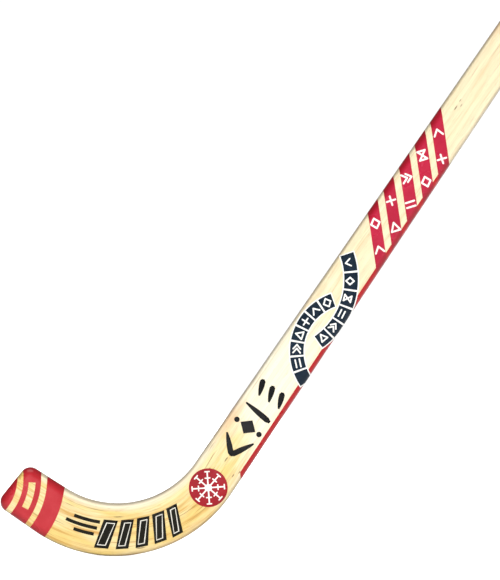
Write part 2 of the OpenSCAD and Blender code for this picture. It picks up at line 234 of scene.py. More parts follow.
def ply_depths(k, w):
    """Depths of ply k across stations of width w, evenly spaced over the surface."""
    near, far = (k - 1) * PLY_T, np.minimum(k * PLY_T, w)
    f = np.linspace(0, 1, FLAT_POINTS if k in FLAT_PLIES else ROUND_POINTS)
    if k > max(FLAT_PLIES):
        top = w if k == PLY_COUNT else far
        return w[:, None] - from_girth(girth(w - near)[:, None] * (1 - f) + girth(w - top)[:, None] * f)
    return from_girth(girth(near) * (1 - f) + girth(far)[:, None] * f)


def toe_reach(d):
    """How far the toe reaches from the bend at a depth."""
    tilt = math.radians(TOE_FACE_TILT)
    d_1, d_2 = TOE_CORNER_R * (1 - math.sin(tilt)), DEPTH_2 - TOE_CORNER_R * math.sin(tilt)
    corners = [x + np.sqrt(np.maximum(0, TOE_CORNER_R ** 2 - (d - centre) ** 2))
               for x, centre in ((X_1, TOE_CORNER_R), (X_2, DEPTH_2))]
    return np.select([d < d_1, d > d_2], corners, X_1 + FACE_X + (d - d_1) * math.tan(tilt))


def end_run(near):
    """Run at which the stick is no wider than a depth, so that the ply from there has run out."""
    at_bend = float(width(BEND_RUN))
    if at_bend > near + TIP:
        return BEND_RUN + min(SHAFT_RUN, (at_bend - near - TIP) / TAPER)
    lo, hi = BEND_RUN * SEARCH_FROM, BEND_RUN
    for _ in range(HALVINGS):
        mid = (lo + hi) / 2
        lo, hi = (mid, hi) if width(mid) > near + TIP else (lo, mid)
    return lo


def ply_stations(k):
    """Flat runs and depths of ply k's rings from the toe to its end, and how far each is rounded off."""
    toe_w = np.full(1, width(np.array(-X_2)))
    depth = ply_depths(k, toe_w)[0]
    runs, depths, butt = [], [], []
    for nose in np.linspace(90, 0, NOSE_STEPS + 1):
        runs.append(-(toe_reach(depth) - EDGE_R + EDGE_R * math.sin(math.radians(nose))))
        depths.append(depth)
        butt.append(0)
    for f in np.linspace(1, 0, TOE_STEPS + 1)[1:-1]:
        depth = ply_depths(k, np.full(1, width(np.array(-X_2 * f))))[0]
        runs.append(-(toe_reach(depth) - EDGE_R) * f)
        depths.append(depth)
        butt.append(0)
    last = end_run((k - 1) * PLY_T)
    along = list(np.linspace(0, min(last, BEND_RUN), BEND_STEPS + 1))
    whole = last >= BEND_RUN + SHAFT_RUN
    if last > BEND_RUN:
        stop = last - BUTT_R if whole else last
        along += list(np.linspace(BEND_RUN, stop, SHAFT_STEPS + 1)[1:])
    turns = [0.0] * len(along)
    if whole:
        for turn in np.linspace(0, 90, BUTT_STEPS + 1)[1:]:
            along.append(last - BUTT_R + BUTT_R * math.sin(math.radians(turn)))
            turns.append(turn)
    for run, row, turn in zip(along, ply_depths(k, width(np.array(along))), turns):
        runs.append(np.full(row.shape, run))
        depths.append(row)
        butt.append(turn)
    return np.array(runs), np.array(depths), np.radians(butt)


def build_ply(k, material):
    """One ply as a closed tube of rings, with the grain, tone and inset that its wood is coloured by."""
    runs, depths, butt = ply_stations(k)
    front, normals, m = skin(place(runs, depths))
    up_shaft = np.append(unit(IN_A1 + 90), 0)
    inset = BUTT_R * (1 - np.cos(butt))
    front = front - normals * inset[:, None, None]
    normals = normals * np.cos(butt)[:, None, None] + up_shaft * np.sin(butt)[:, None, None]
    flip = np.array([1, 1, -1])
    ring = np.concatenate([front, front[:, ::-1] * flip], 1)
    ring_n = np.concatenate([normals, normals[:, ::-1] * flip], 1)
    ring_m = np.concatenate([m, m[:, ::-1]], 1)
    grain = np.stack([np.concatenate([runs, runs[:, ::-1]], 1), np.concatenate([depths, depths[:, ::-1]], 1),
                      ring[..., 2]], -1)
    count, n = ring.shape[:2]
    points, point_n, point_m = ring.reshape(-1, 3), ring_n.reshape(-1, 3), ring_m.ravel()
    faces, on_skin = [], []
    for i in range(count - 1):
        for j in range(n):
            a, b = i * n + j, i * n + (j + 1) % n
            face = (a, b, b + n, a + n)
            faces.append(face)
            on_skin.append(j % (n // 2) != n // 2 - 1 or not point_m[list(face)].any())
    for j in range(n // 2 - 1):
        faces.append((j, n - 1 - j, n - 2 - j, j + 1))
        on_skin.append(True)
        top = (count - 1) * n
        faces.append((top + j + 1, top + n - 2 - j, top + n - 1 - j, top + j))
        on_skin.append(False)
    plain = flat_normals(points, faces)
    loops = [point_n[v] if smooth else plain[i]
             for i, (face, smooth) in enumerate(zip(faces, on_skin)) for v in face]
    name = f"ply_{k:02d}"
    tone = np.full(len(points), PLY_TONES[k - 1])
    piece = new_piece(f"wood_{name}", points, faces, np.array(loops), material,
                      [("grain", "FLOAT_VECTOR", grain.reshape(-1, 3) * MM), ("tone", "FLOAT", tone),
                       ("inset", "FLOAT", point_m * MM)])
    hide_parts(name)


# ---- Flat shapes of the prints ----------------------------------------------------------------

ROUND_END_STEPS, DISC_STEPS, SECTOR_STEP = 12, 96, 2.5      # the last one in degrees
BRUSH_STEPS = 24
LANDED, LIFTING = 0.12, 0.35            # shares of a brush stroke at which it is widest and starts to thin
LANDING_SHARE, THINNING, THINNING_CURVE = 0.3, 0.7, 1.6


def stroke(a, b, w):
    """Outline of a round-ended line."""
    a, b = np.asarray(a, float), np.asarray(b, float)
    along = math.degrees(math.atan2(*(b - a)[::-1]))
    half = np.linspace(0, 180, ROUND_END_STEPS + 1)
    return np.concatenate([b + w / 2 * unit(along - 90 + half), a + w / 2 * unit(along + 90 + half)])


def path_stroke(points, w):
    return [stroke(a, b, w) for a, b in zip(points[:-1], points[1:])]


def brushed(points, w):
    """Outline of one brush stroke along points: pressed on at its start, thinning to a drawn-out tip."""
    points = np.asarray(points, float)
    legs = np.linalg.norm(np.diff(points, axis=0), axis=1)
    reach = np.concatenate([[0], np.cumsum(legs)])
    f = np.linspace(0, 1, BRUSH_STEPS + 1)
    middle = np.stack([np.interp(f * reach[-1], reach, points[:, i]) for i in (0, 1)], -1)
    ahead = np.gradient(middle, axis=0)
    side = np.stack([-ahead[:, 1], ahead[:, 0]], -1) / np.linalg.norm(ahead, axis=1)[:, None]
    lifted = np.clip((f - LIFTING) / (1 - LIFTING), 0, 1)
    half = (w / 2 * np.sqrt(np.clip(f / LANDED, LANDING_SHARE, 1))
            * (1 - THINNING * lifted ** THINNING_CURVE))
    return np.concatenate([middle + side * half[:, None], (middle - side * half[:, None])[::-1]])


def disc(centre, r):
    return np.asarray(centre, float) + r * unit(np.linspace(0, 360, DISC_STEPS + 1)[:-1])


def sector(centre_r, w, mid, sweep):
    """Piece of a ring about the origin."""
    steps = max(4, int(sweep / SECTOR_STEP))
    a = np.linspace(mid - sweep / 2, mid + sweep / 2, steps + 1)
    return np.concatenate([(centre_r + w / 2) * unit(a), (centre_r - w / 2) * unit(a[::-1])])


def turned(loop, degrees):
    """Points turned anticlockwise about the origin."""
    x, y = unit(degrees)
    return np.asarray(loop, float) @ np.array([[x, y], [-y, x]])


def on_shaft(loop, along, depth, turn=0):
    """From local axes, x up the shaft and y towards the hollow edge, to flat points."""
    p = turned(loop, turn) + [along, -INNER_R - depth]
    return IN_C + turned(p, SHAFT_IN)


def on_bend(loop, a, depth, turn=0):
    """The same axes at an angle round the bend."""
    p = turned(turned(loop, 90 + turn) + [INNER_R + depth, 0], a)
    return IN_C + p


OUTLINE_TOP = 560.0       # past the last print on the shaft
ARC_STEPS, CORNER_STEPS, GUIDE_STEPS = 96, 24, 12


def outline(inset):
    """Closed loop at a distance inside the stick's outline, cut off above the prints."""
    runs = np.concatenate([[-X_1], np.linspace(0, BEND_RUN, ARC_STEPS + 1), [BEND_RUN + OUTLINE_TOP]])
    sole = OUT_C + (SOLE_R - inset) * unit(np.linspace(OUT_A1, OUT_A0, ARC_STEPS + 1))
    top = sole[:1] + OUTLINE_TOP * unit(OUT_A1 + 90)
    r = TOE_CORNER_R - inset
    low = CORNER_2 + r * unit(np.linspace(OUT_A0, FACE_A - 90, CORNER_STEPS + 1))
    high = CORNER_1 + r * unit(np.linspace(FACE_A - 90, IN_A0 - 180, CORNER_STEPS + 1))[:-1]
    return np.concatenate([place(runs, inset), top, sole, low, high])


# loops that make a print's mesh follow the rounding
GUIDES = [outline(EDGE_R * (1 - math.cos(math.radians(turn))))
          for turn in np.linspace(0, 90, GUIDE_STEPS + 1)[1:]]
MERGE_MM = 1e-5


def anticlockwise(loop):
    x, y = loop.T
    return loop if (x * np.roll(y, -1) - y * np.roll(x, -1)).sum() > 0 else loop[::-1]


def cut_shape(adds, cuts=()):
    """Triangles of the flat region inside any of adds, outside all cuts and inside the outline."""
    loops = [outline(0)] + list(adds) + list(cuts)
    verts, edges, faces = [], [], []
    for loop in map(anticlockwise, loops):
        faces.append(list(range(len(verts), len(verts) + len(loop))))
        verts += [Vector(p) for p in loop]
    for guide in GUIDES:
        start = len(verts)
        edges += [(start + i, start + (i + 1) % len(guide)) for i in range(len(guide))]
        verts += [Vector(p) for p in guide]
    out = delaunay_2d_cdt(verts, edges, faces, 0, MERGE_MM, True)
    added, cut = set(range(1, 1 + len(adds))), set(range(1 + len(adds), len(loops)))
    keep = [face for face, source in zip(out[2], out[5])
            if 0 in source and added & set(source) and not cut & set(source)]
    used = sorted({v for face in keep for v in face})
    index = {v: i for i, v in enumerate(used)}
    return np.array([out[0][v][:] for v in used]), [tuple(index[v] for v in face) for face in keep]


def rim_edges(faces):
    """Directed border edges of a set of faces."""
    seen = {}
    for face in faces:
        for a, b in zip(face, face[1:] + face[:1]):
            seen[(a, b)] = True
    return [(a, b) for a, b in seen if (b, a) not in seen]


LAYER_TOPS = [0.0, 0.08, 0.14, 0.20]    # heights above the wood of each printed layer
BURIED = 0.03                           # how far a layer's underside reaches into what it lies on


def build_print(node, layer, adds, material, cuts=()):
    """A thin printed layer that follows the front and turns over the edges to their middle."""
    flat, faces = cut_shape(adds, cuts)
    base, normals, m = skin(flat)
    base, normals, inset = list(base), list(normals), list(m)
    lower = {}
    for a, b in rim_edges(faces):
        if m[a] == 0 and m[b] == 0:
            for v in (a, b):
                if v not in lower:
                    lower[v] = len(base)
                    base.append(base[v] * [1, 1, 0])
                    normals.append(normals[v])
                    inset.append(0)
            faces.append((b, a, lower[a], lower[b]))
    base, normals = np.array(base), np.array(normals)
    count = len(base)
    points = np.concatenate([base + normals * LAYER_TOPS[layer],
                             base + normals * (LAYER_TOPS[layer - 1] - BURIED)])
    tops = [tuple(face) for face in faces]
    bottoms = [tuple(v + count for v in reversed(face)) for face in tops]
    sides = [(b, a, a + count, b + count) for a, b in rim_edges(tops)]
    side_n = flat_normals(points, sides)
    loops = ([normals[v] for face in tops for v in face]
             + [-normals[v - count] for face in bottoms for v in face]
             + [side_n[i] for i, face in enumerate(sides) for _ in face])
    piece = new_piece(f"print_{node}", points, tops + bottoms + sides, np.array(loops), material,
                      [("inset", "FLOAT", np.tile(inset, 2) * MM)])
    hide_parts(node)


# ---- Materials ----------------------------------------------------------------------------------


def rgb(hex_text):
    """Linear colour of an sRGB hex value."""
    values = [int(hex_text[i:i + 2], 16) / 255 for i in (0, 2, 4)]
    return (*[v / 12.92 if v <= 0.04045 else ((v + 0.055) / 1.055) ** 2.4 for v in values], 1.0)


def new_material(name):
    material = bpy.data.materials.new(name)
    material.use_nodes = True
    tree = material.node_tree
    return material, tree, tree.nodes["Principled BSDF"]


def node(tree, kind, **settings):
    made = tree.nodes.new(kind)
    for key, value in settings.items():
        setattr(made, key, value)
    return made


def feed(tree, value, socket):
    """Links a socket from another one, or sets it to a value."""
    if isinstance(value, bpy.types.NodeSocket):
        tree.links.new(value, socket)
    else:
        socket.default_value = value


def attribute(tree, name, output="Fac"):
    return node(tree, "ShaderNodeAttribute", attribute_name=name).outputs[output]


def stretched_noise(tree, source, scale, detail=3, roughness=0.5, distortion=0.0):
    """Noise value over coordinates in metres, stretched by scale features per metre."""
    mapping = node(tree, "ShaderNodeMapping")
    mapping.inputs["Scale"].default_value = scale
    tree.links.new(source, mapping.inputs["Vector"])
    noise = node(tree, "ShaderNodeTexNoise")
    noise.inputs["Scale"].default_value = 1
    noise.inputs["Detail"].default_value = detail
    noise.inputs["Roughness"].default_value = roughness
    noise.inputs["Distortion"].default_value = distortion
    tree.links.new(mapping.outputs["Vector"], noise.inputs["Vector"])
    return noise.outputs[0]


def remap(tree, source, low, high, to_low=0.0, to_high=1.0):
    """Smooth step of a value from one span to another."""
    made = node(tree, "ShaderNodeMapRange", interpolation_type="SMOOTHSTEP")
    for i, value in enumerate((low, high, to_low, to_high), 1):
        made.inputs[i].default_value = value
    tree.links.new(source, made.inputs[0])
    return made.outputs[0]


def mix_colour(tree, factor, a, b, blend="MIX"):
    """Mix of two colours by a factor, where each of the three is a value or a socket."""
    made = node(tree, "ShaderNodeMix", data_type="RGBA", blend_type=blend)
    for value, socket in ((factor, made.inputs[0]), (a, made.inputs[6]), (b, made.inputs[7])):
        feed(tree, value, socket)
    return made.outputs[2]


def maths(tree, operation, a, b=0.0):
    made = node(tree, "ShaderNodeMath", operation=operation)
    feed(tree, a, made.inputs[0])
    feed(tree, b, made.inputs[1])
    return made.outputs[0]


def vector_maths(tree, operation, a, b):
    made = node(tree, "ShaderNodeVectorMath", operation=operation)
    feed(tree, a, made.inputs[0])
    feed(tree, b, made.inputs[1])
    return made.outputs[0]


def glaze(tree, shader, roughness, specular, coat):
    """Satin lacquer: how rough it is, how much the surface mirrors, and how much coat lies on it."""
    tree.links.new(remap(tree, roughness, 0.3, 0.7, 0.26, 0.36), shader.inputs["Roughness"])
    shader.inputs["Specular IOR Level"].default_value = specular
    shader.inputs["Coat Weight"].default_value = coat
    shader.inputs["Coat Roughness"].default_value = 0.08


def add_bump(tree, shader, height, distance, strength):
    bump = node(tree, "ShaderNodeBump")
    bump.inputs["Strength"].default_value = strength
    bump.inputs["Distance"].default_value = distance
    tree.links.new(height, bump.inputs["Height"])
    tree.links.new(bump.outputs["Normal"], shader.inputs["Normal"])


# zones of the wood in metres, each the start and end of a smooth step: four along the stick's run
BLADE_ZONE, UPPER_BEND = (0.215, 0.18), (0.12, 0.155)
# the next two steps place a painted highlight: the lower shaft paler where the lamp's glare falls
GLARE_START, GLARE_END = (0.19, 0.225), (0.37, 0.29)
WAVER = 0.05              # how far the clouds shift those four

# three by depth from the hollow edge, one by distance inside the outline, one by height off the middle
# the third span on the next line places a painted highlight along the bend's hollow edge
SOLE_SIDE, HOLLOW_SIDE, RIM_HIGHLIGHT_ZONE = (0.028, 0.042), (0.022, 0.004), (0.0085, 0.004)
# the next two spans place a painted shade on the rounded edges
ROUNDED_EDGE = (0.003, 0.0006)
EDGE_MIDDLE = (0.0026, 0.005)

# the third colour on the next line is a painted highlight, the paler wood where the lamp's glare falls on
# the lower shaft
CREAM, CREAM_STREAK, PAINTED_GLARE = rgb("E9DDBA"), rgb("DCC79A"), rgb("F0E9D0")
GOLD, PALE_GOLD, PALE_SOLE = rgb("E4CA7C"), rgb("EAD8A2"), rgb("F0E4CE")
GOLD_STREAK, PALE_STREAK = rgb("CDA052"), rgb("DCC076")
# on the next line the warm patch is the wood's own colour; the second colour is a painted highlight for the
# bend's hollow edge, the third a painted shade for the rounded edges
WARM_PATCH, PAINTED_RIM_HIGHLIGHT, PAINTED_EDGE_SHADE = rgb("E8BC8C"), rgb("F2ECDA"), rgb("807C84")
PLY_SHADE, HAIR_SHADE, FIBRE_SHADE = rgb("B98A4C"), rgb("84603A"), rgb("B4875A")
PORE_SHADE, GLUE_SHADE, FLECK = rgb("7A5530"), rgb("8C6236"), rgb("4A2E18")

# small dark flecks in the wood: run and depth in millimetres, half length and half width
FLECKS = [(139, 14, 2.6, 0.7), (147, 36, 2.2, 0.6), (153, 39, 1.8, 0.5), (160, 42, 2.4, 0.5),
          (156, 22, 3.2, 0.9), (52, 12, 5, 0.6), (66, 43, 3.5, 0.7), (8, 30, 5, 0.5), (549, 12, 3.2, 0.7),
          (554, 15, 2.4, 0.6), (557, 11.5, 2, 0.5), (700, 18, 3.5, 0.7), (842, 11, 2.5, 0.6)]


def zone_colours(tree, run, depth, clouds, streaks):
    """Colour of each zone: golden round the bend, paler above it as a painted highlight of the lamp's glare,
    then cream; and the golden share.
    """
    wavering = maths(tree, "ADD", run, maths(tree, "MULTIPLY", clouds, WAVER))
    blade = remap(tree, wavering, *BLADE_ZONE)
    streak = remap(tree, streaks, 0.45, 0.72)

    # painted highlight: the lower shaft paler where the lamp's glare falls
    glare = maths(tree, "MULTIPLY", remap(tree, wavering, *GLARE_START),
                     remap(tree, wavering, *GLARE_END))
    shaft_colour = mix_colour(tree, maths(tree, "MULTIPLY", streak, 0.7), CREAM, CREAM_STREAK)
    shaft_colour = mix_colour(tree, glare, shaft_colour, PAINTED_GLARE)

    upper_bend = remap(tree, wavering, *UPPER_BEND)
    pale_sole = maths(tree, "MULTIPLY", upper_bend, remap(tree, depth, *SOLE_SIDE, 0.0, 0.6))
    blade_colour = mix_colour(tree, remap(tree, clouds, 0.38, 0.62), GOLD, PALE_GOLD)
    blade_colour = mix_colour(tree, pale_sole, blade_colour, PALE_SOLE)
    streak_colour = mix_colour(tree, upper_bend, GOLD_STREAK, PALE_STREAK)
    blade_colour = mix_colour(tree, streak, blade_colour, streak_colour)
    return mix_colour(tree, blade, shaft_colour, blade_colour), blade


def edge_tints_and_painted_light(tree, colour, blade, grain, depth, height):
    """Warm patches by the shaft's hollow edge, a painted highlight along the bend's hollow edge, and painted
    shade on the rounded edges.
    """
    patches = remap(tree, stretched_noise(tree, grain, (9, 34, 20), 2, 0.5), 0.48, 0.68, 0.0, 0.7)
    warm = maths(tree, "MULTIPLY", patches, remap(tree, depth, *HOLLOW_SIDE, 0.25, 1.0))
    warm = maths(tree, "MULTIPLY", warm, remap(tree, blade, 0.0, 1.0, 1.0, 0.2))
    colour = mix_colour(tree, warm, colour, WARM_PATCH)

    # painted highlight: a pale band along the bend's hollow edge, where its rounding faces the light
    rim_highlight = maths(tree, "MULTIPLY", blade, remap(tree, depth, *RIM_HIGHLIGHT_ZONE, 0.0, 0.6))
    colour = mix_colour(tree, rim_highlight, colour, PAINTED_RIM_HIGHLIGHT)

    # painted shade: the rounded edges darker towards the outline, less so at the middle of the edge's
    # thickness
    edge_shade = remap(tree, attribute(tree, "inset"), *ROUNDED_EDGE, 0.0, 0.5)
    off_middle = remap(tree, maths(tree, "ABSOLUTE", height), *EDGE_MIDDLE, 0.35, 1.0)
    return mix_colour(tree, maths(tree, "MULTIPLY", edge_shade, off_middle), colour, PAINTED_EDGE_SHADE, "MULTIPLY")


def dark_lines(tree, colour, blade, grain, depth, fibres, pores):
    """Each ply's own tone, dark hairs, fibres, pores, and a glue line at each boundary between plies."""
    hairs = stretched_noise(tree, grain, (22, 620, 260), 3, 0.55, 0.8)
    hair = maths(tree, "MULTIPLY", remap(tree, hairs, 0.58, 0.72, 0.0, 0.65),
                 remap(tree, blade, 0.0, 1.0, 0.4, 1.0))
    across_ply = maths(tree, "FRACT", maths(tree, "DIVIDE", depth, PLY_T * MM))
    from_middle = maths(tree, "ABSOLUTE", maths(tree, "SUBTRACT", across_ply, 0.5))
    lines = [(remap(tree, attribute(tree, "tone"), 0.3, 0.75, 0.0, 0.14), PLY_SHADE),
             (hair, HAIR_SHADE),
             (remap(tree, fibres, 0.35, 0.75, 0.0, 0.2), FIBRE_SHADE),
             (remap(tree, pores, 0.66, 0.76, 0.0, 0.4), PORE_SHADE),
             (remap(tree, from_middle, 0.47, 0.5, 0.0, 0.16), GLUE_SHADE)]
    for strength, shade in lines:
        colour = mix_colour(tree, strength, colour, shade, "MULTIPLY")
    return colour


def flecks(tree, colour, grain, pores):
    """Small dark ellipses in the grain, broken up by the pores."""
    spots = 0.0
    for run, depth, half_long, half_wide in FLECKS:
        away = vector_maths(tree, "SUBTRACT", grain, (run * MM, depth * MM, 0))
        scaled = vector_maths(tree, "MULTIPLY", away, (1 / (half_long * MM), 1 / (half_wide * MM), 0))
        size = node(tree, "ShaderNodeVectorMath", operation="LENGTH")
        tree.links.new(scaled, size.inputs[0])
        spots = maths(tree, "MAXIMUM", spots, remap(tree, size.outputs["Value"], 1.2, 0.4, 0.0, 0.8))
    speckled = maths(tree, "MULTIPLY", spots, remap(tree, pores, 0.3, 0.55))
    return mix_colour(tree, speckled, colour, FLECK)


def wood_material():
    material, tree, shader = new_material("lacquered_wood")
    grain = attribute(tree, "grain", "Vector")
    split = node(tree, "ShaderNodeSeparateXYZ")
    tree.links.new(grain, split.inputs[0])
    run, depth, height = split.outputs

    streaks = stretched_noise(tree, grain, (16, 170, 190), 4, 0.62, 1.4)
    clouds = stretched_noise(tree, grain, (22, 60, 60), 2, 0.5, 0.5)
    fibres = stretched_noise(tree, grain, (38, 1500, 700), 3, 0.6)
    pores = stretched_noise(tree, grain, (150, 2300, 1500), 2, 0.5)

    colour, blade = zone_colours(tree, run, depth, clouds, streaks)
    colour = edge_tints_and_painted_light(tree, colour, blade, grain, depth, height)
    colour = dark_lines(tree, colour, blade, grain, depth, fibres, pores)
    colour = flecks(tree, colour, grain, pores)
    tree.links.new(colour, shader.inputs["Base Color"])
    glaze(tree, shader, fibres, specular=0.35, coat=0.45)
    add_bump(tree, shader, maths(tree, "ADD", fibres, pores), distance=0.00008, strength=0.35)
    return material


INK_EDGE_SHADE = (0.009, 0.0005)    # distances inside the outline between which the painted edge shade comes in


def ink_material(name, colour, shade, worn, edge=None, gloss=1.0):
    """Screen-printed ink under lacquer: cloudy and finely speckled, with a painted shade, a darker colour,
    where it rounds an edge.
    """
    material, tree, shader = new_material(name)
    place_of = node(tree, "ShaderNodeTexCoord").outputs["Object"]
    clouds = stretched_noise(tree, place_of, (45, 45, 45), 3, 0.55)
    speckle = stretched_noise(tree, place_of, (1400, 1400, 1400), 2, 0.6)
    base = mix_colour(tree, remap(tree, clouds, 0.35, 0.68), rgb(colour), rgb(shade))
    # painted shade: the ink turns to the darker edge colour towards the outline
    if edge:
        base = mix_colour(tree, remap(tree, attribute(tree, "inset"), *INK_EDGE_SHADE), base, rgb(edge))
    base = mix_colour(tree, remap(tree, speckle, 0.6, 0.78, 0.0, 0.35), base, rgb(worn))
    tree.links.new(base, shader.inputs["Base Color"])
    glaze(tree, shader, clouds, specular=0.3 * gloss, coat=0.4 * gloss)
    add_bump(tree, shader, speckle, distance=0.00004, strength=0.3)
    return material


WOOD = wood_material()
# the last colour given to each red ink is its painted edge shade
RED = ink_material("red_print", "B83038", "AE262E", "C85A58", "98101A")
DEEP_RED = ink_material("roundel_red", "9A0A1C", "8C0618", "AC2C3A", "880614")
EDGE_RED = ink_material("edge_red", "B4161C", "A81218", "C04444", "A40E14")
CRIMSON = ink_material("crimson_print", "B2223E", "A61A36", "C44E62", "8E0818")
BLACK = ink_material("black_print", "16150F", "1E1D16", "2E2C24", gloss=0.4)
BRUSHED = ink_material("brushed_black", "101012", "1A1A1C", "262628", gloss=0.3)
SLATE = ink_material("slate_print", "121E2A", "182634", "263646", gloss=0.4)
WHITE = ink_material("white_print", "F0F0EC", "E6E4DE", "D4D0C4")
PALE = ink_material("pale_line", "DDDAD0", "CFCBC0", "B8B2A4")

# ---- The prints -----------------------------------------------------------------------------------

# lines of each abstract mark, in a square from -1 to 1
MARKS = [
    [[(0, -0.9), (0.8, 0), (0, 0.9), (-0.8, 0), (0, -0.9)]],
    [[(-0.8, -0.5), (0, 0.6), (0.8, -0.5)]],
    [[(-0.8, 0), (0.8, 0)], [(0, -0.8), (0, 0.8)]],
    [[(-0.8, -0.7), (0, 0.8), (0.8, -0.7), (-0.8, -0.7)]],
    [[(-0.8, -0.75), (0.1, 0), (-0.8, 0.75)], [(0, -0.75), (0.9, 0), (0, 0.75)]],
    [[(-0.8, 0.45), (0.8, 0.45)], [(-0.8, -0.45), (0.8, -0.45)]],
    [[(-0.7, 0.8), (0.7, 0.8), (-0.7, -0.8), (0.7, -0.8), (-0.7, 0.8)]],
]


def mark(i, size, w):
    """Diamond, chevron, cross, triangle, double chevron, two bars or hourglass."""
    return [loop for line in MARKS[i % len(MARKS)]
            for loop in path_stroke(np.array(line) * size / 2, w)]


# swept arcs round a centre past the toe: radius, width, middle and sweep
TOE_ARCS = [(79.7, 16.5, -10, 100), (57.6, 16.6, -10, 120)]
TOE_WINDOW = (57.6, 6.4, 17, 25)
TOE_CORE_R = 43.5
TOE_ARC_CENTRE, TOE_ARC_DEPTH = (-80, 0), 40


def on_toe(loop):
    return on_bend(loop + TOE_ARC_CENTRE, IN_A0, TOE_ARC_DEPTH)


def toe_print():
    arcs = [sector(*arc) for arc in TOE_ARCS] + [disc((0, 0), TOE_CORE_R)]
    build_print("toe_print", 1, [on_toe(arc) for arc in arcs], RED,
                cuts=[on_toe(sector(*TOE_WINDOW))])


BAR_ANGLES = [-95, -86.4, -78.2, -70.2, -62.6]
BAR_WIDTHS = [13.5, 12, 12, 12, 11]
BAR_LEAN, BAR_HALF_H, BAR_DEPTH = 3.5, 13.5, 28.5
INLINE_OUTER, INLINE_INNER = 2.6, 3.4   # margins inside a bar
TRAILS = [(18, -112, -98.5), (24, -115, -99.5), (30, -110, -100.5)]    # depth, first and last angle
TRAIL_W = 3.2


def leaning_bars(margin):
    bars = []
    for angle, full_w in zip(BAR_ANGLES, BAR_WIDTHS):
        w, h = full_w / 2 - margin, BAR_HALF_H - margin
        loop = [(-w - BAR_LEAN, -h), (w - BAR_LEAN, -h), (w + BAR_LEAN, h), (-w + BAR_LEAN, h)]
        bars.append(on_bend(loop, angle, BAR_DEPTH))
    return bars


def blade_emblem():
    trails = [IN_C + sector(INNER_R + depth, TRAIL_W, (a + b) / 2, b - a) for depth, a, b in TRAILS]
    build_print("blade_emblem", 1, leaning_bars(0) + trails, BLACK)
    build_print("emblem_inlines", 2, leaning_bars(INLINE_OUTER), PALE,
                cuts=leaning_bars(INLINE_INNER))


ROUNDEL_A, ROUNDEL_DEPTH, ROUNDEL_R = -40.7, 23.9, 18.2
HUB_R, ARM_REACH, ARM_W = ROUNDEL_R * 0.19, ROUNDEL_R * 0.83, 1.3
CROSSBARS = [(ROUNDEL_R * 0.5, 2.2), (ARM_REACH, 2)]     # place along an arm and half length
CROSSBAR_W = 1.2


def on_roundel(loop):
    return on_bend(loop, ROUNDEL_A, ROUNDEL_DEPTH)


def roundel():
    arm = [stroke((0, 0), (ARM_REACH, 0), ARM_W)]
    arm += [stroke((x, -half), (x, half), CROSSBAR_W) for x, half in CROSSBARS]
    star = [disc((0, 0), HUB_R)] + [turned(line, a) for a in range(0, 360, 45) for line in arm]
    build_print("roundel_disc", 1, [on_roundel(disc((0, 0), ROUNDEL_R))], DEEP_RED)
    build_print("roundel_star", 2, [on_roundel(loop) for loop in star], WHITE)


BRUSH_W = 5.4
CHEVRON_AND_BAR = [[(25, -24), (41, -8)], [(25, -23), (46, -35)], [(71, -36), (74, -7)]]
DASH_FROM, DASH_TO, DASH_DEPTHS = (101, 1), (86, -4.5), (9, 20, 31)
DIAMOND_X, DIAMOND_Y, DIAMOND_HALF_W, DIAMOND_HALF_H = 56, -21.5, 7.5, 8.5
DOT_R, DOT_AWAY = 2.6, 12.5


def shaft_marks():
    dashes = [[(DASH_FROM[0], DASH_FROM[1] - depth), (DASH_TO[0], DASH_TO[1] - depth)]
              for depth in DASH_DEPTHS]
    loops = [brushed(points, BRUSH_W) for points in CHEVRON_AND_BAR + dashes]
    x, y, w, h = DIAMOND_X, DIAMOND_Y, DIAMOND_HALF_W, DIAMOND_HALF_H
    loops.append(np.array([(x - w, y), (x, y - h), (x + w, y), (x, y + h)]))
    loops += [disc((x, y + away), DOT_R) for away in (DOT_AWAY, -DOT_AWAY)]
    build_print("shaft_marks", 1, [on_shaft(loop, 0, 0) for loop in loops], BRUSHED)


# two arcs of tiles: centre on the shaft, radius, and the angles of the tiles round the centre
LOWER_C, LOWER_R, LOWER_COUNT, LOWER_PITCH = (169, 61), 51, 7, 15.25
LOWER_ANGLES = [60.8 + LOWER_PITCH * i for i in range(LOWER_COUNT)]
UPPER_C, UPPER_R, UPPER_COUNT = (184, -36.4), 71.6, 6
UPPER_ANGLES = [-105.7 + 10.8 * i + 0.36 * i * i for i in range(UPPER_COUNT)]
UPPER_SWEEPS = [10.9 + 0.7 * i for i in range(UPPER_COUNT)]
BORDER_W, TILE_W = 15, 12.8
OVERLAP, LOWER_GAP, UPPER_GAP = -0.2, 1.9, 1.4      # degrees less than a tile's share of the arc
TILE_MARK_W = 1.4
LOWER_MARK_COUNT, LOWER_MARK_SIZE = 6, 9            # the last tile of the lower band is plain
FIRST_UPPER_MARK, UPPER_MARK_SIZE, UPPER_MARK_R = 3, 8.4, UPPER_R - 1


def lower_tiles(w, gap):
    return [on_shaft(sector(LOWER_R, w, angle, LOWER_PITCH - gap), *LOWER_C) for angle in LOWER_ANGLES]


def upper_tiles(w, gap):
    return [on_shaft(sector(UPPER_R, w, angle, sweep - gap), *UPPER_C)
            for angle, sweep in zip(UPPER_ANGLES, UPPER_SWEEPS)]


def tile_marks(first, angles, size, turn, r, centre):
    """One mark on each tile, turned to stand across its band."""
    return [on_shaft(turned(turned(loop, turn) + [r, 0], angle), *centre)
            for i, angle in enumerate(angles, first) for loop in mark(i, size, TILE_MARK_W)]


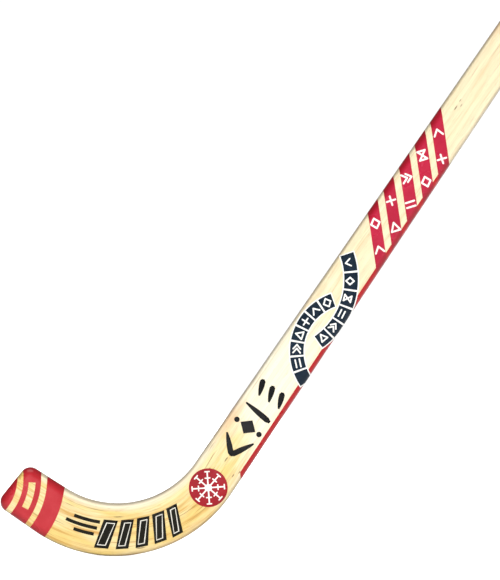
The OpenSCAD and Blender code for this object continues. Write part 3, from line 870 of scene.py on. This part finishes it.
def tile_bands():
    build_print("lower_band_border", 1, lower_tiles(BORDER_W, OVERLAP), WHITE)
    build_print("upper_band_border", 1, upper_tiles(BORDER_W, OVERLAP), WHITE)
    build_print("lower_band_tiles", 2, lower_tiles(TILE_W, LOWER_GAP), SLATE)
    build_print("upper_band_tiles", 2, upper_tiles(TILE_W, UPPER_GAP), SLATE)
    lower = tile_marks(0, LOWER_ANGLES[:LOWER_MARK_COUNT], LOWER_MARK_SIZE, -90, LOWER_R, LOWER_C)
    upper = tile_marks(FIRST_UPPER_MARK, UPPER_ANGLES, UPPER_MARK_SIZE, 90, UPPER_MARK_R, UPPER_C)
    build_print("lower_band_glyphs", 3, lower, WHITE)
    build_print("upper_band_glyphs", 3, upper, WHITE)


DIAGONAL_COUNT, DIAGONAL_START, DIAGONAL_PITCH, DIAGONAL_LEAN = 5, 284.8, 25.8, 1.07
DIAGONAL_W, DIAGONAL_GROWTH = 16.2, 0.3
ABOVE_EDGE, BELOW_EDGE = 5, -60         # a stripe's ends, past the two edges of the shaft
STRIPE_MARK_DEPTHS, STRIPE_MARK_ALONG = [11.5, 28.5], 8.1
STRIPE_MARK_TURN, STRIPE_MARK_SIZE, STRIPE_MARK_W = -38, 10.5, 1.7
EDGE_STRIPE_W = 4.6
EDGE_STRIPE_START, EDGE_STRIPE_SLANT, EDGE_STRIPE_END = 15.5, 5.5, 366
PAST_SOLE = 20


def diagonal_stripes():
    loops = []
    for i in range(DIAGONAL_COUNT):
        w = DIAGONAL_W + DIAGONAL_GROWTH * i
        ends = [(start + y * DIAGONAL_LEAN, y)
                for start, y in ((0, ABOVE_EDGE), (w, ABOVE_EDGE), (w, BELOW_EDGE), (0, BELOW_EDGE))]
        loops.append(on_shaft(ends, DIAGONAL_START + DIAGONAL_PITCH * i, 0))
    return loops


def stripe_marks():
    loops = []
    for i in range(DIAGONAL_COUNT):
        for row, depth in enumerate(STRIPE_MARK_DEPTHS):
            along = DIAGONAL_START + DIAGONAL_PITCH * i + STRIPE_MARK_ALONG - DIAGONAL_LEAN * depth
            loops += [on_shaft(loop, along, depth, STRIPE_MARK_TURN)
                      for loop in mark(2 * i + row, STRIPE_MARK_SIZE, STRIPE_MARK_W)]
    return loops


def edge_band():
    """Band along the sole edge of the shaft, cut on a slant at its lower end."""
    slant_top = EDGE_STRIPE_START + EDGE_STRIPE_SLANT
    loop = np.array([(0, slant_top), (EDGE_STRIPE_W, EDGE_STRIPE_START), (PAST_SOLE, EDGE_STRIPE_START),
                     (PAST_SOLE, EDGE_STRIPE_END), (0, EDGE_STRIPE_END)])
    return turned(loop + [SOLE_R - EDGE_STRIPE_W, 0], OUT_A1) + OUT_C


def stripes():
    diagonals = diagonal_stripes()
    build_print("diagonal_stripes", 1, diagonals, CRIMSON)
    build_print("stripe_glyphs", 2, stripe_marks(), WHITE)
    others = diagonals + lower_tiles(BORDER_W, OVERLAP) + upper_tiles(BORDER_W, OVERLAP)
    build_print("edge_stripe", 1, [edge_band()], EDGE_RED, cuts=others)


for k in range(1, PLY_COUNT + 1):
    build_ply(k, WOOD)
toe_print()
blade_emblem()
roundel()
shaft_marks()
tile_bands()
stripes()

# ---- Floor, light and camera ------------------------------------------------------------------------

FLOOR_HALF = 3.0
FLOOR_GLOW = 0.75         # keeps the floor white for the camera without lighting the stick
FLOOR_GREY = 0.75


def floor():
    mesh = bpy.data.meshes.new("floor")
    corners = [(-1, -1), (1, -1), (1, 1), (-1, 1)]
    mesh.from_pydata([(x * FLOOR_HALF, y * FLOOR_HALF, 0) for x, y in corners], [], [(0, 1, 2, 3)])
    made = bpy.data.objects.new("floor", mesh)
    bpy.context.scene.collection.objects.link(made)
    material, tree, shader = new_material("white_floor")
    shader.inputs["Base Color"].default_value = (FLOOR_GREY, FLOOR_GREY, FLOOR_GREY, 1)
    shader.inputs["Roughness"].default_value = 0.9
    shader.inputs["Specular IOR Level"].default_value = 0.1
    shader.inputs["Emission Color"].default_value = (1, 1, 1, 1)
    seen = tree.nodes.new("ShaderNodeLightPath").outputs["Is Camera Ray"]
    tree.links.new(maths(tree, "MULTIPLY", seen, FLOOR_GLOW), shader.inputs["Emission Strength"])
    mesh.materials.append(material)


LIT_POINT = (0.2, 0, 0.3)          # what the soft lamps face, on the lower shaft


def softbox(name, location, side, watts):
    """A square soft lamp that lights surfaces without showing in their gloss."""
    data = bpy.data.lights.new(name, "AREA")
    data.shape = "RECTANGLE"
    data.size = side
    data.size_y = side
    data.energy = watts
    made = bpy.data.objects.new(name, data)
    made.location = location
    bpy.context.scene.collection.objects.link(made)
    towards = Vector(LIT_POINT) - made.location
    made.rotation_euler = towards.to_track_quat("-Z", "Y").to_euler()
    made.visible_camera = False
    made.visible_glossy = False


def overhead(strength, spread, tilt):
    """A wide sun from above; spread and tilt in degrees."""
    data = bpy.data.lights.new("overhead", "SUN")
    data.energy = strength
    data.angle = math.radians(spread)
    made = bpy.data.objects.new("overhead", data)
    made.rotation_euler = (math.radians(tilt), 0, 0)
    bpy.context.scene.collection.objects.link(made)


def white_world(seen, lighting):
    """Pure white where the camera looks past everything, softer where it lights the stick."""
    world = bpy.data.worlds.new("studio")
    bpy.context.scene.world = world
    world.use_nodes = True
    tree = world.node_tree
    background = tree.nodes["Background"]
    background.inputs["Color"].default_value = (1, 1, 1, 1)
    ray = tree.nodes.new("ShaderNodeLightPath")
    made = tree.nodes.new("ShaderNodeMapRange")
    made.inputs[3].default_value = lighting
    made.inputs[4].default_value = seen
    tree.links.new(ray.outputs["Is Camera Ray"], made.inputs[0])
    tree.links.new(made.outputs[0], background.inputs["Strength"])


CAMERA_AWAY = 2.5
VIEW_CENTRE = (0.127, 0.2498)      # middle of the view on the stick's plane, x and z
VIEW_HEIGHT = 0.5452
SENSOR_MM = 36


def camera():
    data = bpy.data.cameras.new("camera")
    data.sensor_fit = "VERTICAL"
    data.sensor_height = SENSOR_MM
    data.lens = SENSOR_MM * CAMERA_AWAY / VIEW_HEIGHT
    made = bpy.data.objects.new("camera", data)
    made.location = (VIEW_CENTRE[0], -CAMERA_AWAY, VIEW_CENTRE[1])
    made.rotation_euler = (math.radians(90), 0, 0)
    bpy.context.scene.collection.objects.link(made)
    bpy.context.scene.camera = made


floor()
white_world(seen=1.05, lighting=0.16)
overhead(strength=1.0, spread=50, tilt=12)
softbox("front_key", location=(-0.1, -2.6, 0.45), side=0.9, watts=72)
softbox("back_fill", location=(0.8, 2.4, 1.0), side=1.2, watts=62)
softbox("side_fill", location=(2.6, 0.2, 0.7), side=1.2, watts=22)
camera()
bpy.context.scene.view_settings.view_transform = "Standard"
